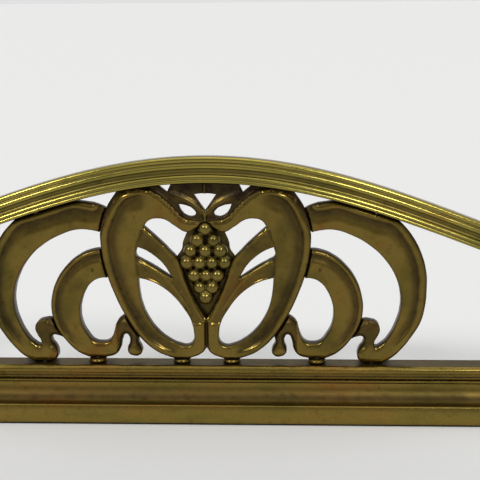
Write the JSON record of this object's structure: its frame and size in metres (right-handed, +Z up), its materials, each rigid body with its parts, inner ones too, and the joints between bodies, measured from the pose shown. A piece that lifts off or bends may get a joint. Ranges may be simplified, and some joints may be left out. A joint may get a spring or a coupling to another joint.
{
  "type": "fireplace fender",
  "caption": "Low U-shaped brass fireplace fender: a moulded kerb on iron bars, an arched reeded rail and a cast loop, scroll and grape ornament.",
  "frame": {"origin": "centre of the rectangle the fender stands in, on the hearth", "axes": "+X along the front run, -Y towards the room, the returns run back along +Y, +Z up"},
  "size_m": [1.32, 0.33, 0.265],
  "materials": {
    "rolled_brass": "aged satin",
    "cast_brass": "aged satin, dark in the hollows",
    "black_iron": "dull, mill scale",
    "steel_fixings": "dull"
  },
  "bodies": {
    "root": {"base_bar_front": "black_iron", "base_bar_left": "black_iron", "base_bar_right": "black_iron", "bracket_screw_left_front": "steel_fixings", "bracket_screw_left_return": "steel_fixings", "bracket_screw_right_front": "steel_fixings", "bracket_screw_right_return": "steel_fixings", "centre_casting": "cast_brass", "corner_bracket_left": "black_iron", "corner_bracket_right": "black_iron", "corner_pillar_left": "cast_brass", "corner_pillar_left_nut": "steel_fixings", "corner_pillar_right": "cast_brass", "corner_pillar_right_nut": "steel_fixings", "end_plate_left": "rolled_brass", "end_plate_right": "rolled_brass", "grape_cluster": "cast_brass", "grape_screw_left": "steel_fixings", "grape_screw_right": "steel_fixings", "inner_scroll_left": "cast_brass", "inner_scroll_left_collar": "cast_brass", "inner_scroll_left_nut": "steel_fixings", "inner_scroll_left_stud": "steel_fixings", "inner_scroll_right": "cast_brass", "inner_scroll_right_collar": "cast_brass", "inner_scroll_right_nut": "steel_fixings", "inner_scroll_right_stud": "steel_fixings", "kerb_front": "rolled_brass", "kerb_left": "rolled_brass", "kerb_right": "rolled_brass", "lap_screw_left": "steel_fixings", "lap_screw_right": "steel_fixings", "loop_left_collar": "cast_brass", "loop_left_nut": "steel_fixings", "loop_left_stud": "steel_fixings", "loop_rail_stud_left": "steel_fixings", "loop_rail_stud_right": "steel_fixings", "loop_right_collar": "cast_brass", "loop_right_nut": "steel_fixings", "loop_right_stud": "steel_fixings", "outer_scroll_left": "cast_brass", "outer_scroll_left_nut": "steel_fixings", "outer_scroll_left_stud": "steel_fixings", "outer_scroll_right": "cast_brass", "outer_scroll_right_nut": "steel_fixings", "outer_scroll_right_stud": "steel_fixings", "rail_cap_left": "rolled_brass", "rail_cap_right": "rolled_brass", "rail_core_front": "black_iron", "rail_core_left": "black_iron", "rail_core_right": "black_iron", "rail_front": "rolled_brass", "rail_left": "rolled_brass", "rail_right": "rolled_brass", "return_pillar_left": "cast_brass", "return_pillar_left_nut": "steel_fixings", "return_pillar_right": "cast_brass", "return_pillar_right_nut": "steel_fixings", "scroll_rail_stud_left": "steel_fixings", "scroll_rail_stud_right": "steel_fixings"}
  },
  "joints": []
}
